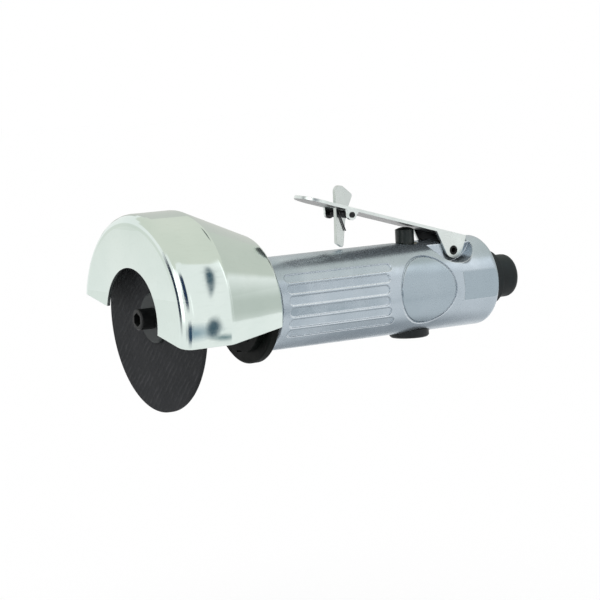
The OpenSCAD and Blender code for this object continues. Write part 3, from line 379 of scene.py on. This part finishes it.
def abrasive():
    """Black abrasive with the weave of its glass cloth, grit and pits."""
    s = Shader("abrasive")
    grit = s.noise(0.45 * MM, 5, 0.7)
    coarse = s.noise(1.3 * MM, 4, 0.6)
    blots = s.noise(14 * MM, 3)
    broken = s.spread(s.noise(6 * MM, 3), 0.2, 1.0)
    warp = s.calc("MULTIPLY", s.wave(2.5 * MM, -45, 2.5), broken)
    weft = s.calc("MULTIPLY", s.wave(2.5 * MM, 45, 2.5), 0.3)
    weave = s.calc("MAXIMUM", warp, weft)
    base = s.mix(s.spread(blots, 0, 1), (0.026, 0.028, 0.031), (0.041, 0.043, 0.047))
    base = s.mix(s.spread(weave, 0.0, 0.8, 0.4, 1.0), base, (0.086, 0.088, 0.094))
    base = s.mix(s.spread(grit, 0.0, 0.35, 0.52, 0.72), base, (0.10, 0.102, 0.107))
    base = s.mix(s.spread(coarse, 0.0, 0.5, 0.55, 0.7), base, (0.016, 0.016, 0.018))
    s.put("Base Color", base)
    s.put("Roughness", s.spread(grit, 0.6, 0.85))
    s.put("Specular IOR Level", 0.2)
    s.bump([(weave, 0.12 * MM), (coarse, 0.10 * MM), (grit, 0.06 * MM)], 0.15 * MM)
    return s.mat


# By the record's material slot, apart from the nodes that have a finish of their own.
finishes = {
    "cast_alloy": cast_alloy(),
    "bright_guard": bright_zinc(),
    "bright_nickel": nickel("satin_nickel", (0.58, 0.62, 0.60)),
    "black_steel": black_steel("black_oxide", (0.007, 0.008, 0.008), 0.42, 0.35),
    "spring_steel": black_steel("spring_wire", (0.035, 0.035, 0.038), 0.35, 0.3),
    "grey_steel": turned("turned_steel", (0.30, 0.31, 0.33), 0.38),
    "bearing_steel": turned("ground_steel", (0.62, 0.63, 0.65), 0.22),
    "brass": turned("turned_brass", (0.60, 0.44, 0.20), 0.32),
    "seal_rubber": rubber(),
    "fibre": fibre(),
    "abrasive": abrasive(),
}
special = {
    # The lever's nickel carries painted shade under it and between its ears.
    "throttle_lever": nickel("lever_nickel", (0.68, 0.73, 0.71), True),
    "valve_plunger": black_steel("plunger_black", (0.026, 0.034, 0.032), 0.24, 0.2),
    "clamp_nut": black_steel("nut_black", (0.004, 0.006, 0.005), 0.50, 0.10, 0.08),
    "guard_collar": black_steel("collar_black", (0.004, 0.006, 0.005), 0.50, 0.10, 0.08),
    "inlet_bushing": black_steel("inlet_black", (0.010, 0.014, 0.015), 0.55, 0.2),
    "outer_flange": black_steel("flange_grey", (0.030, 0.036, 0.037), 0.48, 0.25),
    "air_regulator": black_steel("regulator_black", (0.014, 0.017, 0.018), 0.45, 0.25),
}
for part in frame["record"]["subparts"]:
    piece = nodes[part["node"]]
    piece.data.materials.clear()
    piece.data.materials.append(special.get(part["node"], finishes[part["material_slot"]]))


# Springs: round wires on the CAD springs' own paths, shown in place of the CAD springs.

def wire(name, path, thick, side, around=12):
    """A closed round wire along a path in millimetres. side is an axis that is never along it."""
    path = [Vector(p) * MM for p in path]
    last = len(path) - 1
    points, faces = [], []
    for i, middle in enumerate(path):
        along = (path[min(i + 1, last)] - path[max(i - 1, 0)]).normalized()
        u = along.cross(Vector(side)).normalized()
        v = along.cross(u)
        for k in range(around):
            a = math.tau * k / around
            points.append(middle + (u * math.cos(a) + v * math.sin(a)) * thick / 2 * MM)
    for i in range(last):
        for k in range(around):
            a, b = i * around + k, i * around + (k + 1) % around
            faces.append((a, b, b + around, a + around))
    faces.append(tuple(reversed(range(around))))
    faces.append(tuple(range(last * around, (last + 1) * around)))
    mesh = bpy.data.meshes.new(name)
    mesh.from_pydata(points, [], faces)
    mesh.polygons.foreach_set("use_smooth", [len(f) == 4 for f in faces])
    mesh.materials.append(finishes["spring_steel"])
    obj = bpy.data.objects.new(name, mesh)
    scene.collection.objects.link(obj)
    return obj


def valve_spring():
    """The coil under the valve's head, fixed to the housing."""
    x, r, low, high = -53.0, 3.1, -15.5, -6.7
    turns, steps, thick = 5, 36, 0.8
    count = turns * steps
    path = []
    for i in range(count + 1):
        a = math.tau * i / steps
        path.append((x + r * math.cos(a), r * math.sin(a), low + (high - low) * i / count))
    obj = wire("valve_spring_wire", path, thick, (0, 0, 1))
    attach(obj, "housing_body")
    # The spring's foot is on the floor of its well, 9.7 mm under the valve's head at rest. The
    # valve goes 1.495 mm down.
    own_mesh(obj)
    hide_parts("valve_spring")


def latch_spring(name, hand):
    """A torsion spring on the latch's pin, on the near side (-1) or the far side (1). One leg lies
    under the lever and the other against the latch."""
    x, z, r, inner, pitch = -84.793, 33.7175, 1.25, 1.65, 1.05
    first, final, steps = 73.6, 1280.0, 118
    thick = 0.6
    coil = []
    for i in range(steps + 1):
        a = first + (final - first) * i / steps
        turn = math.radians(a)
        y = inner + pitch * (final - a) / 360
        coil.append(Vector((x + r * math.cos(turn), hand * y, z + r * math.sin(turn))))
    a, b = math.radians(first), math.radians(final)
    leg_in = Vector((math.sin(a), 0, -math.cos(a)))
    leg_out = Vector((-math.sin(b), 0, math.cos(b)))
    path = [coil[0] + leg_in * n for n in (4.0, 2.0, 0.2)] + coil
    path += [coil[-1] + leg_out * n for n in (0.2, 3.5, 7.0)]
    obj = wire(name, path, thick, (0, 1, 0))
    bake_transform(obj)
    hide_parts("latch_springs")


valve_spring()
latch_spring("latch_spring_near", -1)
latch_spring("latch_spring_far", 1)


# Stage: floor, light panels and dark flags that show only in reflections, lamps and world.

GROUND = -0.20
STAGE_X, STAGE_Y = -0.17, -0.04  # the upright sheets stand round this point, near the guard
FACING, LEVEL, ACROSS = (0, 0, 0), (math.pi / 2, 0, 0), (0, 0, math.pi / 2)


def stage_mesh(name, points, mat):
    """One sheet with four corners."""
    mesh = bpy.data.meshes.new(name)
    mesh.from_pydata(points, [], [(0, 1, 2, 3)])
    mesh.materials.append(mat)
    obj = bpy.data.objects.new(name, mesh)
    scene.collection.objects.link(obj)
    return obj


def panel(name, middle, size, turn, colour, soft=0.0):
    """A sheet that shows only in reflections; soft is the share of it that fades toward its rim."""
    s = Shader(name)
    shine = s.node("ShaderNodeEmission")
    shine.inputs["Color"].default_value = (*colour, 1)
    shader = shine.outputs["Emission"]
    if soft:
        away = s.node("ShaderNodeVectorMath", operation="LENGTH")
        s.link(s.place["Object"], away.inputs[0])
        shown = s.spread(away.outputs["Value"], 1.0, 0.0, 1 - soft, 1.0)
        clear = s.node("ShaderNodeBsdfTransparent").outputs["BSDF"]
        shader = s.mix_shaders(shown, clear, shader)
    s.surface(shader)
    s.mat.cycles.emission_sampling = "NONE"
    obj = stage_mesh(name, [(-1, 0, -1), (1, 0, -1), (1, 0, 1), (-1, 0, 1)], s.mat)
    obj.location = middle
    obj.rotation_euler = turn
    obj.scale = (size[0] / 2, 1, size[1] / 2)
    obj.visible_camera = False
    obj.visible_diffuse = False
    obj.visible_shadow = False
    obj.visible_transmission = False


def upright(name, bearing, away, wide, low, high, colour, soft=0.0, lean=0.0):
    """An upright sheet that faces the guard, at a bearing in degrees from +X toward +Y."""
    angle = math.radians(bearing)
    x, y = STAGE_X + away * math.cos(angle), STAGE_Y + away * math.sin(angle)
    turn = (0, math.radians(lean), angle + math.pi / 2)
    panel(name, (x, y, (low + high) / 2), (wide, high - low), turn, colour, soft)


def floor(height, size=6.0):
    """A white floor that throws less light back up than it shows, and is clear from below."""
    s = Shader("floor")
    shades = []
    for grey in (0.97, 0.33):
        shade = s.node("ShaderNodeBsdfDiffuse")
        shade.inputs["Color"].default_value = (grey, grey, grey, 1)
        shades.append(shade.outputs["BSDF"])
    rough_ray = s.node("ShaderNodeLightPath").outputs["Is Diffuse Ray"]
    below = s.node("ShaderNodeNewGeometry").outputs["Backfacing"]
    clear = s.node("ShaderNodeBsdfTransparent").outputs["BSDF"]
    s.surface(s.mix_shaders(below, s.mix_shaders(rough_ray, *shades), clear))
    corners = [(-size, -size, 0), (size, -size, 0), (size, size, 0), (-size, size, 0)]
    obj = stage_mesh("floor", corners, s.mat)
    obj.location.z = height


def sun(name, towards, spread, strength):
    """A lamp that shines in a direction and isn't seen in reflections."""
    data = bpy.data.lights.new(name, "SUN")
    data.angle = math.radians(spread)
    data.energy = strength
    obj = bpy.data.objects.new(name, data)
    scene.collection.objects.link(obj)
    obj.rotation_euler = Vector(towards).to_track_quat("-Z", "Y").to_euler()
    obj.visible_glossy = False


def studio(soft=0.5, white=1.0):
    """A world that is white to the camera and in reflections, and a softer light elsewhere."""
    world = bpy.data.worlds.new("studio")
    scene.world = world
    world.cycles.sampling_method = "NONE"
    world.use_nodes = True
    world.node_tree.nodes.clear()
    s = Nodes(world.node_tree)
    shades = []
    for strength in (soft, white):
        shade = s.node("ShaderNodeBackground")
        shade.inputs["Color"].default_value = (1, 1, 1, 1)
        shade.inputs["Strength"].default_value = strength
        shades.append(shade.outputs["Background"])
    rays = s.node("ShaderNodeLightPath").outputs
    shiny = s.calc("MAXIMUM", rays["Is Glossy Ray"], rays["Is Transmission Ray"])
    seen = s.calc("MAXIMUM", rays["Is Camera Ray"], shiny)
    out = s.node("ShaderNodeOutputWorld")
    s.link(s.mix_shaders(seen, *shades), out.inputs["Surface"])


floor(GROUND)
sun("overhead", (0.05, -0.2, -1.0), 30, 1.26)
sun("front_left", (0.45, 0.75, -0.9), 40, 0.6)
panel("ceiling", (0.25, 0.28, 0.9), (3.5, 1.62), LEVEL, (0.79, 0.80, 0.73))
panel("wall_right", (1.5, -0.1, 0.06), (3.0, 1.1), ACROSS, (0.61, 0.64, 0.61), 0.7)
panel("wall_right_top", (1.3, 0.4, 0.70), (2.2, 0.50), ACROSS, (0.66, 0.68, 0.63), 0.3)
panel("flag_housing", (0.050, 0.055, 0.27), (0.100, 0.12), LEVEL, (0.12, 0.135, 0.14), 0.5)
panel("glow_housing", (0.20, -0.23, 0.28), (0.24, 0.34), FACING, (1.4, 1.4, 1.4), 0.4)
panel("floor_shade", (0.05, 0.16, GROUND + 0.002), (0.17, 0.52), LEVEL, (0.40, 0.42, 0.44), 0.35)
upright("wall_back", 45, 1.8, 2.2, 0.04, 1.3, (0.66, 0.66, 0.63))
upright("wall_back_left", 122, 1.4, 1.3, GROUND, 0.4, (0.82, 0.84, 0.80), 0.5)
upright("flag_left", 164, 1.1, 0.58, GROUND, 0.62, (0.02, 0.03, 0.06), 0.4)
upright("glow_left", 201, 1.2, 0.90, -0.15, 1.1, (2.0, 2.0, 2.0), 0.3)
upright("flag_camera", 240, 1.3, 1.20, 0.15, 1.35, (0.02, 0.04, 0.09), 0.4)
upright("flag_low", 247, 0.4, 0.46, GROUND, 0.01, (0.04, 0.08, 0.14), 0.5)
upright("haze_low", 280, 0.4, 0.50, -0.18, -0.01, (0.34, 0.44, 0.52), 0.8)
upright("glow_front", 280, 1.3, 0.30, 0.0, 0.7, (1.4, 1.4, 1.4), 0.4)
upright("flag_right", 311, 1.2, 0.16, 0.32, 1.40, (0.06, 0.11, 0.15), 0.5, 22)
upright("flag_right_low", 301, 0.39, 0.10, -0.16, 0.02, (0.06, 0.11, 0.15), 0.6)
upright("flag_right_foot", 311, 0.38, 0.18, -0.165, -0.105, (0.20, 0.28, 0.31), 0.8)
studio()
scene.view_settings.view_transform = "Standard"


# Camera, solved from the photo.

FRAME_PIXELS, FOCAL_PIXELS, SENSOR_MM = 600, 2600, 36


def camera():
    """Looks at a point on the tool's axis from the front left, a little from above."""
    azimuth, elevation, roll = (math.radians(a) for a in (-31.799, 6.441, -3.0))
    distance = 1.071306
    target = Vector((-0.1064863, 0, 0.0000038))
    back = Vector((
        math.sin(azimuth) * math.cos(elevation),
        -math.cos(azimuth) * math.cos(elevation),
        math.sin(elevation),
    ))
    right = (-back).cross(Vector((0, 0, 1))).normalized()
    up = right.cross(-back)
    side = right * math.cos(roll) + up * math.sin(roll)
    top = -right * math.sin(roll) + up * math.cos(roll)
    data = bpy.data.cameras.new("camera")
    data.sensor_width = SENSOR_MM
    data.sensor_fit = "HORIZONTAL"
    data.lens = SENSOR_MM * FOCAL_PIXELS / FRAME_PIXELS
    data.clip_start, data.clip_end = 0.01, 50
    obj = bpy.data.objects.new("camera", data)
    scene.collection.objects.link(obj)
    turn = Matrix((side, top, back)).transposed().to_4x4()
    obj.matrix_world = Matrix.Translation(target + back * distance) @ turn
    scene.camera = obj


camera()
